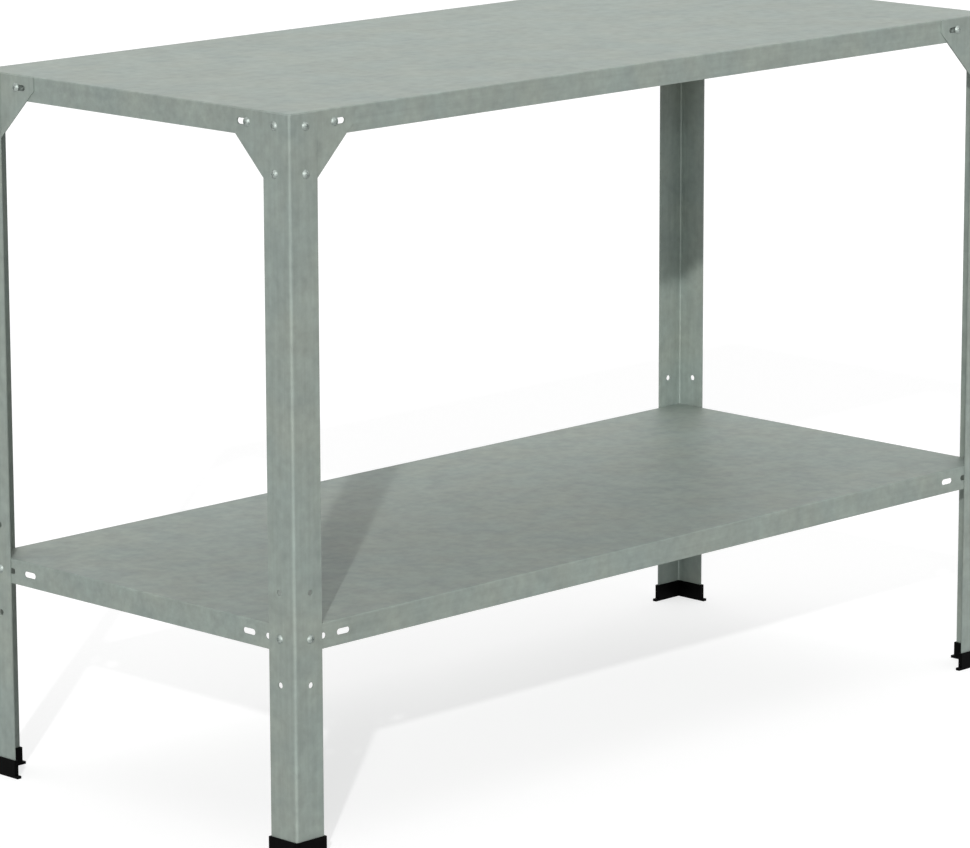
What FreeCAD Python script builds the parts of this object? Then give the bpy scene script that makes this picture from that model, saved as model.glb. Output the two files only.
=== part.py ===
import FreeCAD, Part
import math
import os

# Potting bench: two folded trays bolted inside four angle legs, with two gussets at each top corner.
# Millimetres. +X runs along the length, +Y from front to back, +Z up.
# The origin is on the floor, under the middle of the bench.

# Overall size, across the outer faces of the legs and up to the worktop's surface
bench_length = 1200.0
bench_depth = 525.0
bench_height = 835.0
shelf_height = 265.0  # floor to the lower shelf's surface

# Legs, folded from sheet
leg_flange = 41.5
leg_sheet = 1.5
leg_bend = 2.0  # inside radius
leg_top_drop = 1.2  # below the worktop's surface

# Trays with four turned-down edges
tray_edge = 29.5
tray_sheet = 1.0
tray_bend = 1.0  # inside radius
corner_ease = 0.5  # how much rounder the corner is in plan than the folds that it meets
tray_notch = 8.0  # cut out of the turned-down edges at each corner

# Gussets
gusset_sheet = 1.2
gusset_margin = 31.0  # from the outer bolt to the end of each arm
gusset_nose = 15.5  # width left at the end of each arm

# Holes and slots, measured from the leg's outer corner
hole_inset = 24.0
hole_pitch = 52.5
outer_bolt_inset = 69.0
outer_slot_length = 19.5
leg_slot_overrun = 7.0  # past the leg's free edge

# M6 fasteners
thread_diameter = 6.0
bolt_length = 10.0
bolt_point = 0.6  # chamfer at the end of the shank
head_diameter = 10.5
head_height = 3.2
recess_width = 1.2
recess_length = 5.0
recess_depth = 1.4
nut_width = 10.0
nut_height = 5.0

# Feet
foot_height = 21.5
foot_base = 3.2
foot_wall = 2.0
foot_lip = 5.0  # how far the base runs past the walls at the free ends

# Clearances
sheet_gap = 0.1  # between bolted sheets
seat_gap = 0.05  # under a head or a nut
thread_gap = 0.1  # round the shank in its nut
foot_gap = 0.15  # round the leg in its foot
hole_clearance = 1.0  # across a hole, more than the thread
fold_clearance = 3.5  # between the end of the leg's inside fold and a gusset
cut_margin = 1.0  # how far a cutter runs past the faces it cuts

# Sizes, faces and rows that follow from the sizes above
hole_diameter = thread_diameter + hole_clearance
hole_radius = hole_diameter / 2
tray_corner = max(leg_bend, tray_bend + tray_sheet) + corner_ease  # plan radius
gusset_reach = outer_bolt_inset + gusset_margin  # from the leg's outer corner, along and down
gusset_start = leg_sheet + leg_bend + fold_clearance
gusset_face = leg_sheet + sheet_gap
gusset_back = gusset_face + gusset_sheet
worktop_face = gusset_back + sheet_gap
shelf_face = leg_sheet + sheet_gap
leg_top = bench_height - leg_top_drop
worktop_row = bench_height - tray_edge / 2
gusset_row = worktop_row - hole_pitch
shelf_row = shelf_height - tray_edge / 2
leg_rows = [worktop_row, gusset_row, shelf_row + hole_pitch, shelf_row, shelf_row - hole_pitch]

corners = {
    "front_left": (-1, -1),
    "front_right": (1, -1),
    "back_left": (-1, 1),
    "back_right": (1, 1),
}


def vec(x, y, z):
    return FreeCAD.Vector(x, y, z)


def block(low, high):
    size = [b - a for a, b in zip(low, high)]
    return Part.makeBox(size[0], size[1], size[2], vec(*low))


def flat_face(points):
    loop = [vec(*point) for point in points]
    return Part.Face(Part.makePolygon(loop + loop[:1]))


def upright_edges(shape, x=None, y=None):
    chosen = []
    for edge in shape.Edges:
        start = edge.Vertexes[0].Point
        end = edge.Vertexes[-1].Point
        if abs(start.x - end.x) + abs(start.y - end.y) > 1e-6 or abs(start.z - end.z) < 1e-6:
            continue
        if x is None or abs(start.x - x) + abs(start.y - y) < 1e-6:
            chosen.append(edge)
    return chosen


def level_edges(shape, z):
    return [e for e in shape.Edges if all(abs(v.Z - z) < 1e-6 for v in e.Vertexes)]


# Everything below is drawn for a corner whose leg has its outer corner at the origin and whose arms
# run along +X (the long side) and +Y (the end). Depths are measured inward from the leg's outer face.
def to_end_side(shape):
    return shape.mirror(vec(0, 0, 0), vec(1, -1, 0))


def both_sides(pieces):
    return pieces + [to_end_side(piece) for piece in pieces]


def at_corner(shape, corner):
    side_x, side_y = corners[corner]
    if side_x > 0:
        shape = shape.mirror(vec(0, 0, 0), vec(1, 0, 0))
    if side_y > 0:
        shape = shape.mirror(vec(0, 0, 0), vec(0, 1, 0))
    return shape.translated(vec(side_x * bench_length / 2, side_y * bench_depth / 2, 0))


def face_inward(shape, inset, height, depth):
    shape.rotate(vec(0, 0, 0), vec(1, 0, 0), -90)
    return shape.translated(vec(inset, depth, height))


def hole(inset, height, depth):
    length = depth + 2 * cut_margin
    return Part.makeCylinder(hole_radius, length, vec(inset, -cut_margin, height), vec(0, 1, 0))


def slot(start, end, height, depth):
    near = start + hole_radius
    far = end - hole_radius
    low = (near, -cut_margin, height - hole_radius)
    high = (far, depth + cut_margin, height + hole_radius)
    return block(low, high).fuse(hole(near, height, depth)).fuse(hole(far, height, depth))


def outer_slot(height, depth):
    start = outer_bolt_inset - hole_radius
    return slot(start, start + outer_slot_length, height, depth)


def leg_slot(height, depth):
    return slot(hole_inset - hole_radius, leg_flange + leg_slot_overrun, height, depth)


def angle_solid(outer, inner, reach, outer_radius, inner_radius, low, high):
    points = [
        (outer, outer, low),
        (reach, outer, low),
        (reach, inner, low),
        (inner, inner, low),
        (inner, reach, low),
        (outer, reach, low),
    ]
    body = flat_face(points).extrude(vec(0, 0, high - low))
    if outer_radius > 0:
        body = body.makeFillet(outer_radius, upright_edges(body, outer, outer))
    if inner_radius > 0:
        body = body.makeFillet(inner_radius, upright_edges(body, inner, inner))
    return body


def make_leg():
    leg = angle_solid(0, leg_sheet, leg_flange, leg_bend + leg_sheet, leg_bend, foot_base, leg_top)
    for row in leg_rows:
        leg = leg.cut(both_sides([hole(hole_inset, row, leg_sheet)]))
    return leg


def make_foot():
    outer = -foot_gap - foot_wall
    inner = leg_sheet + foot_gap + foot_wall
    reach = leg_flange + foot_gap + foot_wall
    fold = leg_bend + leg_sheet
    walls = angle_solid(outer, inner, reach, fold - outer, 0, 0, foot_height)
    base = angle_solid(outer, inner, reach + foot_lip, fold - outer, 0, 0, foot_base)
    socket = angle_solid(-foot_gap, leg_sheet + foot_gap, leg_flange + foot_gap, fold + foot_gap,
                         leg_bend - foot_gap, foot_base, foot_height + cut_margin)
    return walls.fuse(base).removeSplitter().cut(socket)


def make_gusset():
    points = [
        (gusset_start, gusset_face, leg_top),
        (gusset_reach, gusset_face, leg_top),
        (gusset_reach, gusset_face, leg_top - gusset_nose),
        (gusset_nose, gusset_face, leg_top - gusset_reach),
        (gusset_start, gusset_face, leg_top - gusset_reach),
    ]
    plate = flat_face(points).extrude(vec(0, gusset_sheet, 0))
    holes = [hole(hole_inset, row, gusset_back) for row in (worktop_row, gusset_row)]
    return plate.cut(holes + [outer_slot(worktop_row, gusset_back)])


def rounded_block(inset, low, high, corner_radius, rim_radius):
    x = bench_length / 2 - inset
    y = bench_depth / 2 - inset
    body = block((-x, -y, low), (x, y, high))
    body = body.makeFillet(corner_radius, upright_edges(body))
    return body.makeFillet(rim_radius, level_edges(body, high))


def make_tray(surface, face):
    low = surface - tray_edge
    back = face + tray_sheet
    fold = tray_bend + tray_sheet
    body = rounded_block(face, low, surface, tray_corner, fold)
    hollow = rounded_block(back, low - cut_margin, surface - tray_sheet, tray_corner - tray_sheet, tray_bend)
    notch = block((0, 0, low - cut_margin), (face + tray_notch, face + tray_notch, surface - fold))
    row = surface - tray_edge / 2
    slots = both_sides([leg_slot(row, back), outer_slot(row, back)])
    cutters = [hollow]
    for corner in corners:
        cutters += [at_corner(cutter, corner) for cutter in slots + [notch]]
    return body.cut(cutters)


def make_bolt(inset, row, seat):
    radius = head_diameter / 2
    dome_radius = (radius ** 2 + head_height ** 2) / (2 * head_height)
    ball = Part.makeSphere(dome_radius, vec(0, 0, dome_radius - head_height))
    head = ball.common(Part.makeCylinder(radius, head_height, vec(0, 0, -head_height)))
    shank = Part.makeCylinder(thread_diameter / 2, bolt_length)
    shank = shank.makeChamfer(bolt_point, level_edges(shank, bolt_length)[:1])
    top = -head_height - cut_margin
    floor = recess_depth - head_height
    long_half = recess_length / 2
    wide_half = recess_width / 2
    across = block((-long_half, -wide_half, top), (long_half, wide_half, floor))
    upright = block((-wide_half, -long_half, top), (wide_half, long_half, floor))
    return face_inward(head.fuse(shank).cut(across.fuse(upright)), inset, row, seat - seat_gap)


def make_nut(inset, row, seat):
    corner = nut_width / math.sqrt(3)
    turns = [math.radians(60 * step) for step in range(6)]
    body = flat_face([(corner * math.cos(t), corner * math.sin(t), 0) for t in turns])
    body = body.extrude(vec(0, 0, nut_height))
    bore_radius = thread_diameter / 2 + thread_gap
    bore = Part.makeCylinder(bore_radius, nut_height + 2 * cut_margin, vec(0, 0, -cut_margin))
    return face_inward(body.cut(bore), inset, row, seat + seat_gap)


def make_fasteners():
    worktop_back = worktop_face + tray_sheet
    shelf_back = shelf_face + tray_sheet
    top_bolts = [
        make_bolt(hole_inset, worktop_row, 0),
        make_bolt(hole_inset, gusset_row, 0),
        make_bolt(outer_bolt_inset, worktop_row, gusset_face),
    ]
    top_nuts = [
        make_nut(hole_inset, worktop_row, worktop_back),
        make_nut(hole_inset, gusset_row, gusset_back),
        make_nut(outer_bolt_inset, worktop_row, worktop_back),
    ]
    return {
        "top_bolts": both_sides(top_bolts),
        "top_nuts": both_sides(top_nuts),
        "shelf_bolts": both_sides([make_bolt(hole_inset, shelf_row, 0)]),
        "shelf_nuts": both_sides([make_nut(hole_inset, shelf_row, shelf_back)]),
    }


def make_bench():
    gusset = make_gusset()
    pieces = {
        "leg": [make_leg()],
        "foot": [make_foot()],
        "long_gusset": [gusset],
        "end_gusset": [to_end_side(gusset)],
    }
    pieces.update(make_fasteners())
    nodes = {
        "worktop": make_tray(bench_height, worktop_face),
        "lower_shelf": make_tray(shelf_height, shelf_face),
    }
    for corner in corners:
        for name, solids in pieces.items():
            placed = [at_corner(solid, corner) for solid in solids]
            nodes[corner + "_" + name] = placed[0] if len(placed) == 1 else Part.makeCompound(placed)
    return nodes


os.makedirs("parts", exist_ok=True)
for node, shape in make_bench().items():
    shape.exportStep("parts/" + node + ".step")
    print(node, len(shape.Solids), shape.isValid(), round(shape.Volume, 1))
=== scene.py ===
import math

import bpy
from mathutils import Matrix, Vector


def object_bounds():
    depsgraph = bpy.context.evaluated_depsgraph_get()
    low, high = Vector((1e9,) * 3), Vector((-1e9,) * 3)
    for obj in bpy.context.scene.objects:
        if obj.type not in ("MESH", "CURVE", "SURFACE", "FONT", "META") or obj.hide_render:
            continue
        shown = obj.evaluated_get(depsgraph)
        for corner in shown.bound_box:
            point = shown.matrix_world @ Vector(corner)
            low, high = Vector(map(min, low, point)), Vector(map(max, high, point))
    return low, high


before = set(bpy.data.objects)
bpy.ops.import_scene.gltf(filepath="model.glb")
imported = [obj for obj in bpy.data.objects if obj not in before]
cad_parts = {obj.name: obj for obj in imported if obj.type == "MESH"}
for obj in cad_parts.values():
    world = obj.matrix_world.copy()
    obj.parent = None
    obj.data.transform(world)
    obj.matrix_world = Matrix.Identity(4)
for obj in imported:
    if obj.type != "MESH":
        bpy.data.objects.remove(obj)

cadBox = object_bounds()
print("frame loaded:", len(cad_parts), "nodes")


def linearColour(hexColour):  # sRGB hex to the linear colour that a shader takes
    channels = [int(hexColour[i:i + 2], 16) / 255 for i in (1, 3, 5)]
    linear = [c / 12.92 if c <= 0.04045 else ((c + 0.055) / 1.055) ** 2.4 for c in channels]
    return (*linear, 1.0)


def addNode(tree, kind, settings=None, links=None):
    # lower-case names are the node's own settings, the others are its sockets
    node = tree.nodes.new(kind)
    for name, value in (settings or {}).items():
        if isinstance(name, str) and name[0].islower():
            setattr(node, name, value)
        else:
            node.inputs[name].default_value = value
    for name, source in (links or {}).items():
        tree.links.new(source, node.inputs[name])
    return node


def newMaterial(name):
    material = bpy.data.materials.new(name)
    material.use_nodes = True
    material.node_tree.nodes.clear()
    return material, material.node_tree


def objectPlace(tree):
    return addNode(tree, "ShaderNodeTexCoord").outputs["Object"]


def noiseAt(tree, place, millimetres, detail):  # lumps of about this size
    settings = {"Scale": 1000 / millimetres, "Detail": detail, "Roughness": 0.55}
    return addNode(tree, "ShaderNodeTexNoise", settings, {"Vector": place}).outputs["Fac"]


def ramp(tree, noise, span, low, high):
    node = addNode(tree, "ShaderNodeValToRGB", {}, {"Fac": noise})
    first, last = node.color_ramp.elements
    first.position, last.position = span
    first.color, last.color = low, high
    return node.outputs["Color"]


def grey(level):
    return (level, level, level, 1.0)


def multiply(tree, first, second):
    node = addNode(tree, "ShaderNodeMix", {"data_type": "RGBA", "blend_type": "MULTIPLY", 0: 1.0},
                   {6: first, 7: second})
    return node.outputs[2]


noiseSpan = (0.3, 0.7)  # most of a noise's values lie in it


def roughnessFrom(tree, noise, looks):
    return addNode(tree, "ShaderNodeMapRange", {
        "From Min": noiseSpan[0], "From Max": noiseSpan[1],
        "To Min": looks["smoothest"], "To Max": looks["roughest"],
    }, {"Value": noise}).outputs["Result"]


def grainBump(tree, place, looks):
    grain = noiseAt(tree, place, looks["grainSize"], detail=2.0)
    settings = {"Strength": looks["grainStrength"], "Distance": looks["grainDepth"]}
    return addNode(tree, "ShaderNodeBump", settings, {"Height": grain}).outputs["Normal"]


def endMaterial(tree, settings, links):
    shader = addNode(tree, "ShaderNodeBsdfPrincipled", settings, links)
    addNode(tree, "ShaderNodeOutputMaterial", {}, {"Surface": shader.outputs["BSDF"]})


# Hot-dip galvanised sheet, skin-passed: a satin grey-green zinc skin, cloudy in patches a few centimetres
# wide, with faint drawn-out marks along the rolling direction. Sizes, widths and lengths are in
# millimetres, tintShift and grainDepth in metres.
zincSheet = {
    "pale": "#9fa8a1",
    "dull": "#98a19b",
    "cloudSize": 45.0,
    "cloudSpan": (0.36, 0.64),
    "cool": "#f5f9f9",
    "warm": "#f9f9f6",
    "tintSize": 76.5,
    "tintSpan": (0.35, 0.65),
    "tintShift": (3.1, 1.7, 0.4),
    "speckSize": 13.0,
    "speckLevel": 0.84,
    "markWidth": 6.0,
    "markLength": 90.0,
    "markLevel": 0.88,
    "markSpan": (0.32, 0.68),
    "grainSize": 1.6,
    "grainStrength": 0.35,
    "grainDepth": 0.00006,
    "metallic": 0.2,
    "specular": 0.3,
    "smoothest": 0.45,
    "roughest": 0.60,
}


def galvanisedSheet(name, rollingAxis):
    material, tree = newMaterial(name)
    looks = zincSheet
    place = objectPlace(tree)
    stretch = [1.0, 1.0, 1.0]
    stretch[rollingAxis] = looks["markWidth"] / looks["markLength"]
    drawn = addNode(tree, "ShaderNodeMapping", {"Scale": stretch}, {"Vector": place}).outputs["Vector"]
    moved = addNode(tree, "ShaderNodeMapping", {"Location": looks["tintShift"]}, {"Vector": place})
    clouds = noiseAt(tree, place, looks["cloudSize"], detail=3.0)
    specks = noiseAt(tree, place, looks["speckSize"], detail=4.0)
    marks = noiseAt(tree, drawn, looks["markWidth"], detail=3.0)
    tints = noiseAt(tree, moved.outputs["Vector"], looks["tintSize"], detail=2.0)
    colour = ramp(tree, clouds, looks["cloudSpan"], linearColour(looks["dull"]), linearColour(looks["pale"]))
    colour = multiply(tree, colour, ramp(tree, specks, noiseSpan, grey(looks["speckLevel"]), grey(1.0)))
    colour = multiply(tree, colour, ramp(tree, marks, looks["markSpan"], grey(looks["markLevel"]), grey(1.0)))
    tint = ramp(tree, tints, looks["tintSpan"], linearColour(looks["cool"]), linearColour(looks["warm"]))
    endMaterial(tree, {"Metallic": looks["metallic"], "Specular IOR Level": looks["specular"]}, {
        "Base Color": multiply(tree, colour, tint),
        "Roughness": roughnessFrom(tree, marks, looks),
        "Normal": grainBump(tree, place, looks),
    })
    return material


# Zinc-plated steel, cold-headed: more metallic than the sheet, so each domed head shows a soft pale
# highlight and a dark rim.
platedSteel = {
    "pale": "#a4ada8",
    "dull": "#7f8883",
    "tarnishSize": 3.5,
    "tarnishSpan": (0.35, 0.65),
    "metallic": 0.6,
    "smoothest": 0.48,
    "roughest": 0.58,
}


def zincPlatedSteel():
    material, tree = newMaterial("zincPlatedSteel")
    looks = platedSteel
    tarnish = noiseAt(tree, objectPlace(tree), looks["tarnishSize"], detail=3.0)
    endMaterial(tree, {"Metallic": looks["metallic"]}, {
        "Base Color": ramp(tree, tarnish, looks["tarnishSpan"], linearColour(looks["dull"]),
                           linearColour(looks["pale"])),
        "Roughness": roughnessFrom(tree, tarnish, looks),
    })
    return material


# Injection-moulded polypropylene: near black and matt, with the fine spark-eroded grain of its mould.
shoePlastic = {
    "pale": "#070707",
    "dull": "#030303",
    "scuffSize": 9.0,
    "scuffSpan": (0.4, 0.7),
    "grainSize": 0.9,
    "grainStrength": 0.4,
    "grainDepth": 0.00008,
    "refraction": 1.49,
    "specular": 0.03,
    "smoothest": 0.42,
    "roughest": 0.58,
}


def mouldedPolypropylene():
    material, tree = newMaterial("mouldedPolypropylene")
    looks = shoePlastic
    place = objectPlace(tree)
    scuffs = noiseAt(tree, place, looks["scuffSize"], detail=4.0)
    endMaterial(tree, {"IOR": looks["refraction"], "Specular IOR Level": looks["specular"]}, {
        "Base Color": ramp(tree, scuffs, looks["scuffSpan"], linearColour(looks["dull"]),
                           linearColour(looks["pale"])),
        "Roughness": roughnessFrom(tree, scuffs, looks),
        "Normal": grainBump(tree, place, looks),
    })
    return material


sheetAlongLength = galvanisedSheet("galvanisedSheetAlongLength", 0)
sheetUpright = galvanisedSheet("galvanisedSheetUpright", 2)
fastenerSteel = zincPlatedSteel()
footPlastic = mouldedPolypropylene()


def finishFor(node):
    if node in ("worktop", "lower_shelf"):
        return sheetAlongLength
    if node.endswith(("_leg", "_gusset")):
        return sheetUpright
    if node.endswith(("_bolts", "_nuts")):
        return fastenerSteel
    return footPlastic


for node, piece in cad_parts.items():
    piece.data.materials.clear()
    piece.data.materials.append(finishFor(node))
print("finishes given to", len(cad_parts), "pieces")


# Floor and surroundings: the floor glows by floorShown where it is seen or reflected, so that it shows
# white with soft shadows. The white surroundings are seen and reflected in full, but light the object
# only by the ambient strength.
stage = {"floorReach": 30.0, "floorColour": "#b0b0b0", "floorShown": 0.71, "ambient": 0.15}


def seenRays(tree):  # 1 for camera, glossy and transmission rays, 0 for the others
    path = addNode(tree, "ShaderNodeLightPath").outputs
    seen = path["Is Camera Ray"]
    for kind in ("Is Glossy Ray", "Is Transmission Ray"):
        seen = addNode(tree, "ShaderNodeMath", {"operation": "MAXIMUM"}, {0: seen, 1: path[kind]}).outputs[0]
    return seen


def paleFloor():
    material, tree = newMaterial("paleFloor")
    strength = addNode(tree, "ShaderNodeMath", {"operation": "MULTIPLY", 1: stage["floorShown"]},
                       {0: seenRays(tree)}).outputs[0]
    glow = addNode(tree, "ShaderNodeEmission", {"Color": grey(1.0)}, {"Strength": strength})
    matt = addNode(tree, "ShaderNodeBsdfDiffuse", {"Color": linearColour(stage["floorColour"])})
    both = addNode(tree, "ShaderNodeAddShader", {}, {0: glow.outputs[0], 1: matt.outputs[0]})
    addNode(tree, "ShaderNodeOutputMaterial", {}, {"Surface": both.outputs[0]})
    return material


def makeFloor():
    bpy.ops.mesh.primitive_plane_add(size=2 * stage["floorReach"], location=(0, 0, cadBox[0].z))
    floor = bpy.context.object
    floor.name = "floor"
    floor.data.materials.append(paleFloor())


def makeSurroundings():
    world = bpy.data.worlds.new("surroundings")
    bpy.context.scene.world = world
    world.use_nodes = True
    tree = world.node_tree
    tree.nodes.clear()
    strength = addNode(tree, "ShaderNodeMapRange", {"To Min": stage["ambient"], "To Max": 1.0},
                       {"Value": seenRays(tree)}).outputs["Result"]
    sky = addNode(tree, "ShaderNodeBackground", {"Color": grey(1.0)}, {"Strength": strength})
    addNode(tree, "ShaderNodeOutputWorld", {}, {"Surface": sky.outputs[0]})


makeFloor()
makeSurroundings()
print("floor and surroundings made")


# Distant lamps: a low key from the front left, which casts the shadows, a broad fill from above, a lower
# and softer light from the key's side, and a broad one from the front. Travel is the way the light goes,
# spread its width in degrees. How far off they stand changes nothing in the light.
lampDistance = 3.0
lamps = {
    "keyLamp": {"travel": (0.7025, 0.5787, -0.4147), "strength": 2.1, "spread": 1.3},
    "overheadFill": {"travel": (-0.2, -0.2, -1.0), "strength": 1.4, "spread": 80.0},
    "frontFill": {"travel": (0.76, 0.64, -0.17), "strength": 0.75, "spread": 10.0},
    "sideFill": {"travel": (0.0, 0.94, -0.34), "strength": 0.35, "spread": 50.0},
}


def makeLamps():
    for name, looks in lamps.items():
        lamp = bpy.data.objects.new(name, bpy.data.lights.new(name, "SUN"))
        bpy.context.scene.collection.objects.link(lamp)
        lamp.location = -lampDistance * Vector(looks["travel"])
        lamp.rotation_mode = "QUATERNION"
        lamp.rotation_quaternion = Vector(looks["travel"]).to_track_quat("-Z", "Y")
        lamp.data.energy = looks["strength"]
        lamp.data.angle = math.radians(looks["spread"])


makeLamps()
print("lamps made")


# Camera: place and farthest in metres, turns in degrees, lens and sensor in millimetres
camera = {
    "place": (-4.180, -4.094, 1.604),
    "azimuth": -45.345,
    "dip": 11.947,
    "roll": -0.168,
    "lens": 182.9,
    "sensor": 36.0,
    "farthest": 200.0,
}


def makeCamera():
    cameraObject = bpy.data.objects.new("camera", bpy.data.cameras.new("camera"))
    bpy.context.scene.collection.objects.link(cameraObject)
    turn = Matrix.Rotation(math.radians(camera["azimuth"]), 4, "Z")
    tip = Matrix.Rotation(math.radians(90 - camera["dip"]), 4, "X")
    lean = Matrix.Rotation(math.radians(camera["roll"]), 4, "Z")
    cameraObject.matrix_world = Matrix.Translation(camera["place"]) @ turn @ tip @ lean
    cameraObject.data.lens = camera["lens"]
    cameraObject.data.sensor_width = camera["sensor"]
    cameraObject.data.clip_end = camera["farthest"]
    bpy.context.scene.camera = cameraObject


makeCamera()
bpy.context.scene.view_settings.view_transform = "Standard"
print("camera made")
